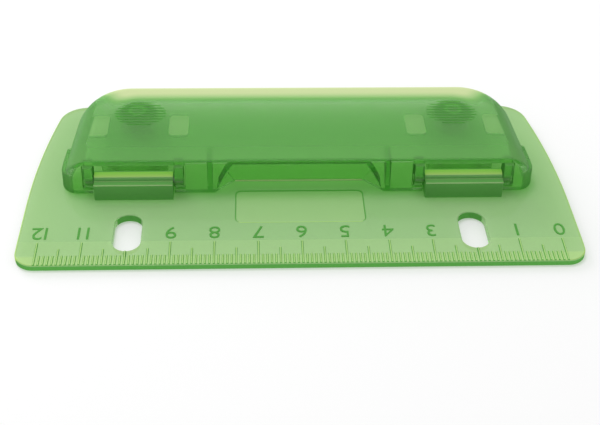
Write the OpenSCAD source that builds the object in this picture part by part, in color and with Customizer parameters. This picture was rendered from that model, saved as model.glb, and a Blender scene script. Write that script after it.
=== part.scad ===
// Pocket hole punch: a flat ruler plate with a hinged press lever over two sprung punches.
// The origin is the middle of the plate's underside. +X runs along the ruler edge,
// +Y points to the paper side at the rear, and +Z is up.

/* [Base plate] */
// Width of the plate along the ruler edge
base_w = 129.4; // [120:0.2:150]
// Depth of the plate from the ruler edge to the paper side
base_d = 64; // [62:1:76]
// Thickness of the plate
base_t = 2; // [1.6:0.1:3]
// Length of the straight front part of each side
side_straight = 21; // [12:1:28]
// Radius of the sides where they curve in towards the rear
side_arc_r = 205; // [150:5:400]
// Radius of the plate's rear corners
base_rear_r = 7; // [4:0.5:10]
// Radius of the plate's front corners
base_front_r = 4.5; // [2:0.5:8]
// Width of the bevel that carries the ruler scale
bevel_w = 7.8; // [5:0.1:10]
// Drop of that bevel at the front edge
bevel_drop = 0.4; // [0.2:0.05:0.8]
// Chamfer under the front edge
edge_chamfer = 0.5; // [0.2:0.1:0.8]

/* [Filing slots and label] */
// Distance between the two punched holes, and between the two filing slots
hole_spacing = 80; // [76:0.5:84]
// Width of a filing slot
slot_w = 6.4; // [5:0.1:8]
// Length of a filing slot from end to end
slot_len = 13; // [9:0.5:15]
// Distance from the ruler edge to the slots
slot_inset = 4.5; // [3:0.5:6]
// Width of the bare label panel
label_w = 30.8; // [20:0.2:36]
// Depth of the label panel along Y
label_d = 12.4; // [8:0.2:14]
// Distance from the ruler edge to the label panel
label_inset = 14.2; // [12:0.2:16]
// Corner radius of the label panel
label_r = 1.2; // [0.5:0.1:3]
// How deep the label panel is sunk
label_sink = 0.15; // [0.1:0.05:0.4]

/* [Paper and punches] */
// Distance from the plate's rear edge to the punch axes
punch_inset = 14; // [12:0.5:16]
// Distance from the paper's edge to the middle of a punched hole
hole_margin = 12; // [11:0.5:12.5]
// Height of the gap that takes the paper
paper_gap = 1.2; // [0.8:0.1:1.6]
// Diameter of a punch pin
punch_d = 5.5; // [4.5:0.1:6]
// Height of the punch tip inside its guide at rest
tip_inset = 0.2; // [0.1:0.05:0.4]
// Depth of the notch that gives the tip its two cutting points
tip_notch = 0.8; // [0.4:0.1:1.2]
// Diameter of the punch pin's upper stud
stud_d = 3; // [2:0.1:4]
// Diameter of a punch cap
cap_d = 9.4; // [8:0.1:11]
// Height of a punch cap in its middle
cap_h = 1.3; // [1.1:0.1:1.8]
// Outer diameter of a die ring
die_d = 8.4; // [7.4:0.1:10]
// Thickness of the plate's floor under a die ring
die_floor = 0.5; // [0.3:0.1:0.8]
// Diameter of the chip hole under a die ring
chip_hole_d = 6.6; // [6.2:0.1:7]

/* [Punch guides] */
// Width of a punch guide
guide_w = 16; // [14:0.5:18]
// Thickness of a guide's bridge over the paper
guide_t = 1.6; // [1.4:0.1:2]
// Depth of a guide's foot, whose rear face stops the paper
guide_foot = 4.5; // [4:0.1:5.5]
// How far a guide reaches behind the punch axis
guide_tail = 6.5; // [5.5:0.5:8]
// Radius of a guide's rear corners
guide_r = 3; // [1:0.5:5]
// Depth of the pocket that seats a spring
seat_depth = 0.8; // [0.4:0.1:1]
// Diameter of the moulded posts that hold a guide down
post_d = 2.4; // [1.6:0.1:3]
// Distance between a guide's two posts
post_spacing = 10; // [8:0.5:12]
// Diameter of a post's staked head
post_head_d = 3.4; // [2.8:0.1:4]
// Thickness of a post's staked head
post_head_t = 0.4; // [0.2:0.1:0.8]

/* [Springs] */
// Wire diameter of a return spring
wire_d = 0.45; // [0.3:0.05:0.5]
// Number of turns of a return spring
spring_turns = 2.75; // [2:0.25:3]
// Radius of the spring's lowest turn, at the middle of the wire
spring_foot_r = 4.15; // [4:0.05:4.2]
// Radius of the spring's highest turn, at the middle of the wire
spring_head_r = 3.5; // [3.4:0.05:3.8]

/* [Hinge] */
// Distance between the middles of the two hinges
hinge_spacing = 78.8; // [74:0.2:84]
// Distance from the hinge axis to the punch axes
hinge_reach = 23; // [22:0.5:26]
// Height of the hinge axis above the plate's top
hinge_h = 3.2; // [3:0.1:3.8]
// Angle through which the lever is pressed
press_angle = 6; // [4:0.5:7]
// Diameter of a hinge pin
pin_d = 1.8; // [1.4:0.1:2]
// Diameter of a knuckle's round barrel
barrel_d = 4.2; // [3.6:0.1:4.6]
// Width of a knuckle
knuckle_w = 18.6; // [16:0.2:20]
// How far a knuckle's front lip stands ahead of the hinge axis
lip_reach = 3.8; // [3.4:0.1:4.4]
// Height of a knuckle's front lip above the plate's top
lip_h = 4.3; // [3.6:0.1:4.6]
// Thickness of a lever ear
ear_t = 2.2; // [1.6:0.1:2.8]
// Radius of an ear round the hinge pin
ear_r = 1.75; // [1.5:0.05:2]

/* [Lever shell] */
// Height of the lever's top above the plate's top
lever_h = 9; // [8.6:0.1:11]
// Wall thickness of the lever
lever_wall = 1.4; // [1:0.1:1.8]
// How far the lever's ends stand inside the plate's sides
lever_side_inset = 7.7; // [6:0.1:10]
// How far the lever's rear stands inside the plate's rear edge
lever_rear_inset = 2.8; // [2:0.1:3.6]
// How far the lever's front wall stands ahead of the hinge axis
lever_nose = 1.5; // [1.2:0.1:2]
// How far the front wall leans back over its height
lever_lean = 1.2; // [0.4:0.1:1.6]
// Radius of the lever's rear shoulder
rear_round = 3.4; // [2:0.1:6]
// Radius of the shoulders at the lever's two ends
end_round = 6.5; // [4:0.5:8]
// Radius of the lever's rear corners in plan
lever_rear_r = 14; // [8:0.5:20]
// Radius of the lever's front corners in plan
lever_front_r = 4; // [2:0.5:5]
// Gap under the front wall at rest
front_gap = 0.3; // [0.2:0.05:0.5]
// How far the end skirts stop ahead of the paper stop
skirt_setback = 0.4; // [0.2:0.1:1]
// Width of a hinge window in the front wall
window_w = 24.4; // [23.8:0.2:26]
// Height of the wall strip under a hinge window
window_sill = 1; // [0.6:0.1:1.4]

/* [Front recess, ribs and pads] */
// Half width of the front recess at its top
recess_top_w = 15.9; // [12:0.1:17]
// Half width of the front recess at its bottom, in the front wall
recess_bottom_w = 20.4; // [17:0.1:20.6]
// Half width of the front recess at its back
recess_back_w = 15.4; // [12:0.1:17]
// Depth of the front recess behind the front wall at its foot
recess_depth = 4.2; // [3:0.1:5]
// Depth of the front recess behind the front wall at its head
recess_head_depth = 0.4; // [0.2:0.1:1]
// Thickness of the recess's lining
recess_wall = 1.2; // [0.8:0.1:1.6]
// Distance of the gusset ribs from the middle
gusset_x = 21.4; // [21.2:0.1:24]
// Thickness of a gusset rib
gusset_t = 1.2; // [1:0.1:1.8]
// Depth of a gusset rib under the lever's top
gusset_reach = 7; // [4:0.5:9]
// Distance between the middles of the two thumb ovals
pad_spacing = 78; // [74:0.2:84]
// Half width of a thumb oval
oval_a = 6.4; // [4:0.2:7]
// Half depth of a thumb oval
oval_b = 5.4; // [3:0.2:6]
// Distance from the hinge axis to the middle of the thumb ovals
oval_reach = 20; // [18:0.5:22]
// Distance between two ridges of a thumb oval
ridge_pitch = 1.2; // [0.9:0.1:2]
// Width of a thumb ridge
ridge_w = 0.5; // [0.3:0.1:0.8]
// Height of a thumb ridge
ridge_h = 0.3; // [0.1:0.05:0.5]
// Distance of the thin spots from a thumb oval's middle along X
spot_x = 9.8; // [9:0.1:11]
// Distance from the hinge axis to the middle of the thin spots
spot_reach = 15.4; // [12:0.2:18]
// Width of a thin spot
spot_w = 4.6; // [3:0.1:6]
// Depth of a thin spot along Y
spot_d = 7.4; // [5:0.1:9]
// How far a thin spot is sunk into the lever's underside
spot_sink = 0.6; // [0.3:0.1:0.8]

/* [Clearances] */
// Radial clearance of a pin or punch that moves in its bore
run_clear = 0.05; // [0.02:0.01:0.1]
// Radial clearance of a pin or ring that stays in its seat
seat_clear = 0.02; // [0.01:0.01:0.05]
// Side gap between a knuckle and the lever's ears
knuckle_gap = 0.3; // [0.2:0.05:0.5]
// Gap between a punch cap and the lever at rest
cap_gap = 0.3; // [0.2:0.05:0.5]
// Gap kept between the lever's rim and the paper when the lever is down
rim_gap = 0.1; // [0.05:0.05:0.5]

/* [Hidden] */
$fn = 64;
// Overshoot of a cut past the face that it opens
over = 1;
// Overlap that joins two solids of one piece
fuse = 0.2;
// Places along X of the two punches and slots, of the hinges, and of the thumb pads
left = -hole_spacing / 2;
right = hole_spacing / 2;
left_hinge = -hinge_spacing / 2;
right_hinge = hinge_spacing / 2;
left_pad = -pad_spacing / 2;
right_pad = pad_spacing / 2;
// Places along Y
front_y = -base_d / 2;
rear_y = base_d / 2;
side_tangent_y = front_y + side_straight;
punch_y = rear_y - punch_inset;
stop_y = punch_y - hole_margin;
hinge_y = punch_y - hinge_reach;
wall_y = hinge_y - lever_nose;
lever_rear_y = rear_y - lever_rear_inset;
skirt_y = stop_y - skirt_setback;
guide_front_y = stop_y - guide_foot;
oval_y = hinge_y + oval_reach;
spot_y = hinge_y + spot_reach;
// Heights
hinge_z = base_t + hinge_h;
lever_top_z = base_t + lever_h;
lever_under_z = lever_top_z - lever_wall;
guide_z = base_t + paper_gap;
guide_top_z = guide_z + guide_t;
seat_z = guide_top_z - seat_depth;
tip_z = guide_z + tip_inset;
cap_top_z = lever_under_z - cap_gap;
cap_z = cap_top_z - cap_h;
rim_z = guide_z + rim_gap + (lever_rear_y - hinge_y) * sin(press_angle);
window_z = base_t + front_gap + window_sill;
// Sizes that follow from the fits
lever_half_w = base_w / 2 - lever_side_inset;
ear_inner = knuckle_w / 2 + knuckle_gap;
pin_len = 2 * (ear_inner + ear_t) - knuckle_gap;
dome_drop = cap_d / 2 * tan(press_angle) + run_clear * 2;
dome_r = (pow(cap_d / 2, 2) + pow(dome_drop, 2)) / (2 * dome_drop);
// Length that passes the whole lever along X, for cuts and extrusions
lever_span = 2 * (lever_half_w + over);

// A prism along X from x_from to x_to whose section is given as (y, z)
module along_x(x_from, x_to) {
    translate([x_from, 0, 0]) rotate([90, 0, 90]) linear_extrude(x_to - x_from) children();
}

// A prism along Y from y_from to y_to whose section is given as (x, z)
module along_y(y_from, y_to) {
    translate([0, y_to, 0]) rotate([90, 0, 0]) linear_extrude(y_to - y_from) children();
}

// Rectangle with four round corners, centred on the origin
module round_rectangle(w, d, r) {
    square([w - 2 * r, d], center = true);
    square([w, d - 2 * r], center = true);
    for (sx = [-1, 1], sy = [-1, 1]) translate([sx * (w / 2 - r), sy * (d / 2 - r)]) circle(r);
}

// Space between the plate's two side curves, at half_w from the middle where they are straight
module between_sides(half_w) {
    arc_r = side_arc_r - (base_w / 2 - half_w);
    translate([-half_w, front_y - over]) square([2 * half_w, side_straight + over]);
    intersection() {
        translate([-half_w, side_tangent_y - fuse]) square([2 * half_w, base_d]);
        translate([half_w - arc_r, side_tangent_y]) circle(arc_r, $fn = 360);
        translate([arc_r - half_w, side_tangent_y]) circle(arc_r, $fn = 360);
    }
}

// Plan shape shared by the plate and the lever: sides that curve in towards the rear,
// and round corners that run smoothly into those curves
module plan(half_w, y_from, y_to, r_front, r_rear) {
    arc_r = side_arc_r - (base_w / 2 - half_w);
    arc_x = half_w - arc_r;
    corner_y = y_to - r_rear;
    corner_x = arc_x + sqrt(pow(arc_r - r_rear, 2) - pow(corner_y - side_tangent_y, 2));
    join_y = side_tangent_y + (corner_y - side_tangent_y) * arc_r / (arc_r - r_rear);
    intersection() {
        between_sides(half_w);
        union() {
            translate([r_front - half_w, y_from]) square([2 * (half_w - r_front), r_front + fuse]);
            for (s = [-1, 1]) translate([s * (half_w - r_front), y_from + r_front]) circle(r_front);
            translate([-half_w, y_from + r_front]) square([2 * half_w, join_y - y_from - r_front]);
            translate([-corner_x, join_y - fuse]) square([2 * corner_x, y_to - join_y + fuse]);
            for (s = [-1, 1]) translate([s * corner_x, corner_y]) circle(r_rear);
        }
    }
}

// Hinge knuckle of the plate: a front lip and a round barrel on one foot
module knuckle(x) {
    difference() {
        along_x(x - knuckle_w / 2, x + knuckle_w / 2) {
            translate([hinge_y - lip_reach, base_t - fuse]) square([lip_reach, lip_h + fuse]);
            translate([hinge_y, base_t - fuse]) square([barrel_d / 2, hinge_h + fuse]);
            translate([hinge_y, hinge_z]) circle(d = barrel_d);
        }
        along_x(x - knuckle_w, x + knuckle_w)
            translate([hinge_y, hinge_z]) circle(pin_d / 2 + seat_clear);
    }
}

// Post through a guide's foot, with the head that staking leaves on it
module post(x) {
    translate([x, stop_y - guide_foot / 2, base_t - fuse]) {
        cylinder(d = post_d, h = guide_top_z - base_t + fuse);
        translate([0, 0, guide_top_z - base_t + fuse]) cylinder(d = post_head_d, h = post_head_t);
    }
}

// Ruler plate with bevelled scale edge, filing slots, label panel, die seats and knuckles
module base_plate() {
    color("yellowgreen", 0.7) {
        difference() {
            linear_extrude(base_t) plan(base_w / 2, front_y, rear_y, base_front_r, base_rear_r);
            along_x(-base_w, base_w) polygon([
                [front_y - over, base_t - bevel_drop * (1 + over / bevel_w)],
                [front_y + bevel_w, base_t],
                [front_y + bevel_w, base_t + over],
                [front_y - over, base_t + over]
            ]);
            along_x(-base_w, base_w) polygon([
                [front_y - over, -over],
                [front_y + edge_chamfer + over, -over],
                [front_y - over, edge_chamfer + over]
            ]);
            translate([0, front_y + label_inset + label_d / 2, base_t - label_sink])
                linear_extrude(label_sink + over) round_rectangle(label_w, label_d, label_r);
            for (x = [left, right]) {
                translate([x, front_y + slot_inset + slot_len / 2, -over])
                    linear_extrude(base_t + 2 * over) {
                        square([slot_w, slot_len - slot_w], center = true);
                        for (s = [-1, 1]) translate([0, s * (slot_len - slot_w) / 2]) circle(d = slot_w);
                    }
                translate([x, punch_y, die_floor]) cylinder(d = die_d + 2 * seat_clear, h = base_t);
                translate([x, punch_y, -over]) cylinder(d = chip_hole_d, h = base_t);
            }
        }
        for (x = [left_hinge, right_hinge]) knuckle(x);
        for (x = [left, right], s = [-1, 1]) post(x + s * post_spacing / 2);
    }
}

// Section of the lever along its middle, as (y, z): leaning front wall, flat top, round rear
module lever_side(inset) {
    front = wall_y + inset;
    top = lever_top_z - inset;
    round_y = lever_rear_y - rear_round;
    difference() {
        union() {
            translate([front, -over]) square([round_y - front, top + over]);
            translate([front, -over])
                square([lever_rear_y - inset - front, lever_top_z - rear_round + over]);
            translate([round_y, lever_top_z - rear_round]) circle(rear_round - inset);
        }
        polygon([
            [front - over, base_t],
            [front, base_t],
            [front + lever_lean, lever_top_z],
            [front + lever_lean, lever_top_z + over],
            [front - over, lever_top_z + over]
        ]);
    }
}

// Section of the lever along its length, as (x, z): flat top and round shoulders
module lever_front(inset) {
    half_w = lever_half_w - inset;
    round_x = lever_half_w - end_round;
    translate([-round_x, -over]) square([2 * round_x, lever_top_z - inset + over]);
    translate([-half_w, -over]) square([2 * half_w, lever_top_z - end_round + over]);
    for (s = [-1, 1]) translate([s * round_x, lever_top_z - end_round]) circle(end_round - inset);
}

// Solid with the lever's shape, drawn in by inset on every side
module lever_form(inset) {
    intersection() {
        translate([0, 0, -over]) linear_extrude(lever_top_z + 2 * over)
            plan(lever_half_w - inset, wall_y + inset, lever_rear_y - inset,
                 lever_front_r - inset, lever_rear_r - inset);
        along_x(-lever_span / 2, lever_span / 2) lever_side(inset);
        along_y(wall_y - over, lever_rear_y + over) lever_front(inset);
    }
}

// Trapezium across X, from half width a at v = a_v to half width b at v = b_v
module trapezium(a, a_v, b, b_v) {
    polygon([[-a, a_v], [a, a_v], [b, b_v], [-b, b_v]]);
}

// Front recess, which narrows upwards and towards its back panel, grown by grow for its lining;
// the panel slopes back from the lever's top edge to its foot
module recess(grow) {
    height = lever_under_z - base_t;
    head_y = wall_y + lever_lean * height / lever_h + recess_head_depth;
    back_y = wall_y + recess_depth;
    slope = (back_y - head_y) / height;
    rise = (recess_bottom_w - recess_top_w) / height;
    flare = (recess_bottom_w - recess_back_w) / recess_depth;
    intersection() {
        along_y(wall_y - over, rear_y)
            trapezium(recess_bottom_w + rise * over + grow, base_t - over,
                      recess_top_w + grow, lever_under_z);
        linear_extrude(lever_top_z)
            trapezium(recess_bottom_w + flare * over + grow, wall_y - over,
                      recess_back_w - flare * 2 * over + grow, back_y + 2 * over);
        along_x(-lever_half_w, lever_half_w) polygon([
            [wall_y - over, base_t - over],
            [back_y + slope * over + grow, base_t - over],
            [head_y + grow, lever_under_z],
            [wall_y - over, lever_under_z]
        ]);
    }
}

// Ear that carries one end of a hinge pin, hung from the lever's top
module ear(x_from) {
    along_x(x_from, x_from + ear_t) {
        translate([hinge_y, hinge_z]) circle(ear_r);
        translate([hinge_y - ear_r, hinge_z]) square([2 * ear_r, lever_under_z + fuse - hinge_z]);
    }
}

// Triangular rib between the front wall and the lever's top
module gusset(x) {
    wall_in = wall_y + lever_wall - fuse;
    along_x(x - gusset_t / 2, x + gusset_t / 2) polygon([
        [wall_in, base_t],
        [wall_in + lever_lean, base_t],
        [wall_in + gusset_reach, lever_under_z + fuse],
        [wall_in + lever_lean, lever_under_z + fuse]
    ]);
}

// Raised ridges that fill a thumb oval
module thumb_oval(x) {
    rows = floor(oval_b / ridge_pitch);
    for (i = [-rows : rows]) {
        half = oval_a * sqrt(1 - pow(i * ridge_pitch / oval_b, 2));
        translate([x - half, oval_y + i * ridge_pitch - ridge_w / 2, lever_top_z - fuse])
            cube([2 * half, ridge_w, ridge_h + fuse]);
    }
}

// Space that the lever leaves free under its walls: a wedge that closes as the lever is
// pressed, and the raised rim that lets paper in behind the stop
module under_lever() {
    low_z = base_t + front_gap;
    along_x(-lever_span, lever_span) {
        polygon([
            [wall_y - over, -over],
            [skirt_y + over, -over],
            [skirt_y + over, low_z + (skirt_y + over - wall_y) * tan(press_angle)],
            [wall_y - over, low_z - over * tan(press_angle)]
        ]);
        translate([skirt_y, -over]) square([lever_rear_y - skirt_y + over, rim_z + over]);
    }
}

// Press lever: a thin shell with hinge windows and ears, front recess, ribs and thumb pads
module lever_shell() {
    color("limegreen", 0.7) {
        difference() {
            union() {
                difference() {
                    lever_form(0);
                    lever_form(lever_wall);
                    for (x = [left_hinge, right_hinge]) {
                        along_y(wall_y - over, hinge_y + ear_r)
                            translate([x - window_w / 2, window_z])
                                square([window_w, lever_under_z - window_z]);
                        along_y(wall_y - over, hinge_y + barrel_d / 2 + knuckle_gap)
                            translate([x - ear_inner, -over]) square([2 * ear_inner, lever_under_z]);
                    }
                }
                intersection() {
                    lever_form(0);
                    recess(recess_wall);
                }
                for (x = [left_hinge, right_hinge]) {
                    ear(x + ear_inner);
                    ear(x - ear_inner - ear_t);
                }
                for (x = [left_pad, right_pad]) thumb_oval(x);
                for (s = [-1, 1]) gusset(s * gusset_x);
            }
            recess(0);
            for (x = [left_hinge, right_hinge])
                along_x(x - window_w / 2, x + window_w / 2)
                    translate([hinge_y, hinge_z]) circle(pin_d / 2 + run_clear);
            for (x = [left_pad, right_pad], s = [-1, 1])
                translate([x + s * spot_x - spot_w / 2, spot_y - spot_d / 2, lever_under_z - over])
                    cube([spot_w, spot_d, spot_sink + over]);
            under_lever();
        }
    }
}

// Pin pressed through a knuckle, on which the lever's ears turn
module hinge_pin(x) {
    color("silver") translate([x - pin_len / 2, hinge_y, hinge_z]) rotate([0, 90, 0])
        cylinder(d = pin_d, h = pin_len);
}

// Bridge over the paper gap with the punch's bore; its foot is the paper stop
module punch_guide(x) {
    tail_y = punch_y + guide_tail;
    color("olivedrab", 0.8) difference() {
        union() {
            translate([x - guide_w / 2, guide_front_y, base_t])
                cube([guide_w, guide_foot, guide_top_z - base_t]);
            translate([x, 0, guide_z]) linear_extrude(guide_t) {
                translate([-guide_w / 2, stop_y - fuse])
                    square([guide_w, tail_y - guide_r - stop_y + fuse]);
                translate([guide_r - guide_w / 2, stop_y])
                    square([guide_w - 2 * guide_r, tail_y - stop_y]);
                for (s = [-1, 1])
                    translate([s * (guide_w / 2 - guide_r), tail_y - guide_r]) circle(guide_r);
            }
        }
        translate([x, punch_y, base_t]) cylinder(d = punch_d + 2 * run_clear, h = lever_h);
        translate([x, punch_y, seat_z]) cylinder(d = cap_d, h = lever_h);
        for (s = [-1, 1]) translate([x + s * post_spacing / 2, stop_y - guide_foot / 2, 0])
            cylinder(d = post_d + 2 * seat_clear, h = lever_h);
    }
}

// Steel ring in the plate that the punch cuts against
module die_ring(x) {
    color("lightsteelblue") translate([x, punch_y, die_floor]) difference() {
        cylinder(d = die_d, h = base_t - die_floor);
        translate([0, 0, -over]) cylinder(d = punch_d + 2 * run_clear, h = base_t + 2 * over);
    }
}

// Steel cutting pin with a notched tip and a stud for its cap
module punch_pin(x) {
    color("silver") difference() {
        translate([x, punch_y, tip_z]) {
            cylinder(d = punch_d, h = cap_z - tip_z);
            cylinder(d = stud_d, h = cap_top_z - dome_drop / 2 - tip_z);
        }
        along_x(x - punch_d, x + punch_d) polygon([
            [punch_y - punch_d / 2 - over, tip_z - over * 2 * tip_notch / punch_d - over],
            [punch_y - punch_d / 2, tip_z],
            [punch_y, tip_z + tip_notch],
            [punch_y + punch_d / 2, tip_z],
            [punch_y + punch_d / 2 + over, tip_z - over * 2 * tip_notch / punch_d - over]
        ]);
    }
}

// Domed head on the punch pin's stud, pushed by the lever and held up by the spring
module punch_cap(x) {
    color("seagreen") difference() {
        intersection() {
            translate([x, punch_y, cap_z]) cylinder(d = cap_d, h = cap_h);
            translate([x, punch_y, cap_top_z - dome_r]) sphere(dome_r, $fn = 128);
        }
        translate([x, punch_y, cap_z - over]) cylinder(d = stud_d + 2 * seat_clear, h = cap_h + 2 * over);
    }
}

// Middle of the spring's wire at turn t, counted from its foot
spring_low = seat_z + wire_d / 2 + seat_clear;
spring_high = cap_z - wire_d / 2 - seat_clear;
function spring_r(t) = spring_foot_r + (spring_head_r - spring_foot_r) * t / spring_turns;
function spring_z(t) = spring_low + (spring_high - spring_low) * t / spring_turns;
function spring_point(t) = [spring_r(t) * cos(360 * t), spring_r(t) * sin(360 * t), spring_z(t)];

// One corner of the wire's six-sided section at turn t
function wire_point(t, a) = let (r = spring_r(t) + wire_d / 2 * cos(a))
    [r * cos(360 * t), r * sin(360 * t), spring_z(t) + wire_d / 2 * sin(a)];

rings_per_turn = 8;
wire_sides = 6;
spring_rings = round(spring_turns * rings_per_turn);
spring_steps = [for (i = [0 : spring_rings]) i * spring_turns / spring_rings];

// Least gap between stretches of the wire that lie more than half a turn apart
spring_gap = min([
    for (a = spring_steps, b = spring_steps)
        if (b - a > 0.5) norm(spring_point(b) - spring_point(a)) - wire_d
]);
echo(spring_gap = spring_gap);

// Return spring: one conical helix, swept as one unbroken tube with triangular faces
module spring(x) {
    points = [for (t = spring_steps, k = [0 : wire_sides - 1]) wire_point(t, 360 * k / wire_sides)];
    side_faces = [
        for (i = [0 : spring_rings - 1], k = [0 : wire_sides - 1])
            let (a = i * wire_sides + k, b = i * wire_sides + (k + 1) % wire_sides)
                each [[a, b, b + wire_sides], [a, b + wire_sides, a + wire_sides]]
    ];
    last = spring_rings * wire_sides;
    end_faces = [for (k = [1 : wire_sides - 2]) each [[0, k + 1, k], [last, last + k, last + k + 1]]];
    color("gainsboro") translate([x, punch_y, 0]) polyhedron(points, concat(side_faces, end_faces));
}

base_plate();
lever_shell();
hinge_pin(left_hinge);  // left_hinge_pin
hinge_pin(right_hinge);  // right_hinge_pin
punch_guide(left);  // left_punch_guide
punch_guide(right);  // right_punch_guide
die_ring(left);  // left_die_ring
die_ring(right);  // right_die_ring
punch_pin(left);  // left_punch_pin
punch_pin(right);  // right_punch_pin
punch_cap(left);  // left_punch_cap
punch_cap(right);  // right_punch_cap
spring(left);  // left_spring
spring(right);  // right_spring
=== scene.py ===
import math

import bmesh
import bpy
import numpy as np
from mathutils import Matrix, Vector


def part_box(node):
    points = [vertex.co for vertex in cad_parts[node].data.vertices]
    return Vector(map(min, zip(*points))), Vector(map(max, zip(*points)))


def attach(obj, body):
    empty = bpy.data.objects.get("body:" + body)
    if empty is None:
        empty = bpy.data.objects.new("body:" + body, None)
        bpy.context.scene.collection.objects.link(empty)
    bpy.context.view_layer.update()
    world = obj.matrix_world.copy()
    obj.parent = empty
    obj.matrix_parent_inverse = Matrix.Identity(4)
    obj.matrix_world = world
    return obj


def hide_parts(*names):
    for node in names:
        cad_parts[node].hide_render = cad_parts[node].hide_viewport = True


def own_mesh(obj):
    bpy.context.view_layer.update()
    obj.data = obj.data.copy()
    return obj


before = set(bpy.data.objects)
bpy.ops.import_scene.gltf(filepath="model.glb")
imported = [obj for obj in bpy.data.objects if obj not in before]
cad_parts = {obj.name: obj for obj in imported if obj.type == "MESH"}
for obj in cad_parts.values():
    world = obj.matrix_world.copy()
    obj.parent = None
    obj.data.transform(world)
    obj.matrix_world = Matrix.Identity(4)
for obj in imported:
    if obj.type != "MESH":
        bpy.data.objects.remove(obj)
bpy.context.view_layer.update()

# Ruler plate: one moulding of clear green plastic, polished on both faces. Its front edge is
# bevelled for the scale, and it carries the filing slots, a bare label panel, the die seats,
# the two hinge knuckles and the posts that hold the punch guides. Lengths are in mm.
MM = 0.001


def node_box(node):
    """Lowest and highest corner of a solid of the frame, in mm."""
    low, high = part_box(node)
    return np.array(low) / MM, np.array(high) / MM


plate_low, plate_high = node_box("base_plate")
pin_low, pin_high = node_box("right_hinge_pin")
punch_low, punch_high = node_box("right_punch_pin")
die_low, die_high = node_box("right_die_ring")
guide_low, guide_high = node_box("right_punch_guide")
HINGE_X, HINGE_Y, HINGE_Z = (pin_low + pin_high) / 2
PUNCH_X, PUNCH_Y, _ = (punch_low + punch_high) / 2
PLATE_HALF_W = plate_high[0]
PLATE_FRONT = plate_low[1]
PLATE_REAR = plate_high[1]
PLATE_T = die_high[2]
PLATE_EDGE_R = 0.35
PLATE_FRONT_R = 4.5
PLATE_REAR_R = 7.0
PLATE_SIDE_R = 205.0
PLATE_SIDE_BEND = 7.66
PLATE_SIDE_TURN = math.radians(10.4)
BEVEL_LINE = PLATE_FRONT + 7.8
BEVEL_DROP = 0.4
SLOT_W = 6.4
SLOT_LEN = 13.0
SLOT_Y = PLATE_FRONT + 4.5 + SLOT_LEN / 2
SLOT_EDGE_R = 0.25
SLOT_ROUND = 0.999
LABEL_W = 30.8
LABEL_D = 12.4
LABEL_Y = PLATE_FRONT + 14.2 + LABEL_D / 2
LABEL_R = 1.6
LABEL_SINK = 0.15
LABEL_EDGE = 0.3
DIE_FLOOR = die_low[2]
DIE_R = (die_high[0] - die_low[0]) / 2
CHIP_HOLE_R = 3.3
KNUCKLE_W = 18.6
BARREL_R = 2.1
BARREL_FRONT_R = 0.8 * BARREL_R
LIP_FRONT = HINGE_Y - 3.8
LIP_TOP = 6.3
LIP_EDGE_R = 0.3
POST_Y = guide_low[1] + 2.25
POST_SPACING = 10.0
POST_R = 1.2
POST_HEAD_R = 1.7
POST_HEAD_FOOT_R = 1.6
POST_CROWN_R = 0.7 * POST_HEAD_R
POST_HEAD_T = 0.4
POST_STEPS = 32
GUIDE_TOP = guide_high[2]
SEAT_CLEAR = 0.02
TIGHT_R = 0.05
FULL_ROUND = 0.98  # share of half a width that rounds it off and leaves no double points
ROOT = 0.2  # how far a form that is joined on reaches into what it stands on
OVER = 1.0  # how far a cutter reaches past what it cuts
EDGE_POINTS = 6
MERGE = 1e-5
SIDES = (-1, 1)


def lofted(name, rings, closed=False):
    """A solid from a row of rings, given as an array (ring, point, xyz) in mm.

    Quads join each point to its neighbours along and across the rings. The last ring joins the
    first one if the row is closed, and otherwise one flat face shuts each end.
    """
    count, size = rings.shape[:2]
    index = np.arange(count * size).reshape(count, size)
    start = index if closed else index[:-1]
    after = np.roll(index, -1, 0) if closed else index[1:]
    quads = np.stack([start, np.roll(start, -1, 1), np.roll(after, -1, 1), after], -1)
    faces = quads.reshape(-1, 4).tolist()
    if not closed:
        faces += [index[0, ::-1].tolist(), index[-1].tolist()]
    mesh = bpy.data.meshes.new(name)
    mesh.from_pydata(rings.reshape(-1, 3), [], faces)
    return solid(name, mesh)


def solid(name, mesh):
    """An object for a closed mesh in mm, with its double points merged and its faces turned out."""
    shape = bmesh.new()
    shape.from_mesh(mesh)
    bmesh.ops.remove_doubles(shape, verts=shape.verts, dist=MERGE)
    bmesh.ops.recalc_face_normals(shape, faces=shape.faces)
    shape.to_mesh(mesh)
    shape.free()
    made = bpy.data.objects.new(name, mesh)
    bpy.context.collection.objects.link(made)
    return made


def rounded(corners, radii, steps=12):
    """Outlines (level, point, 2) from corners (level, corner, 2) with a radius at each corner.

    An arc replaces each corner and touches both its sides at the radius times the tangent of
    half the turn.
    """
    corners = np.asarray(corners, float)
    radii = np.broadcast_to(radii, corners.shape[:2])[..., None]
    into = corners - np.roll(corners, 1, 1)
    away = np.roll(corners, -1, 1) - corners
    into /= np.linalg.norm(into, axis=-1, keepdims=True)
    away /= np.linalg.norm(away, axis=-1, keepdims=True)
    cross = into[..., :1] * away[..., 1:] - into[..., 1:] * away[..., :1]
    turn = np.arctan2(cross, (into * away).sum(-1, keepdims=True))
    inward = np.sign(turn) * np.stack([-into[..., 1], into[..., 0]], -1)
    centre = corners - into * radii * np.tan(np.abs(turn) / 2) + inward * radii
    angle = (turn * np.linspace(0, 1, steps + 1))[..., None]
    spoke_x, spoke_y = -inward[..., None, :1], -inward[..., None, 1:]
    cos, sin = np.cos(angle), np.sin(angle)
    spokes = np.concatenate([spoke_x * cos - spoke_y * sin, spoke_x * sin + spoke_y * cos], -1)
    points = centre[..., None, :] + radii[..., None, :] * spokes
    return points.reshape(len(corners), -1, 2)


def stacked(outlines, heights):
    """Rings (level, point, xyz) from outlines in plan and the height of each level."""
    heights = np.asarray(heights, float)[:, None, None]
    return np.concatenate([outlines, np.broadcast_to(heights, outlines.shape[:2] + (1,))], -1)


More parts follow.
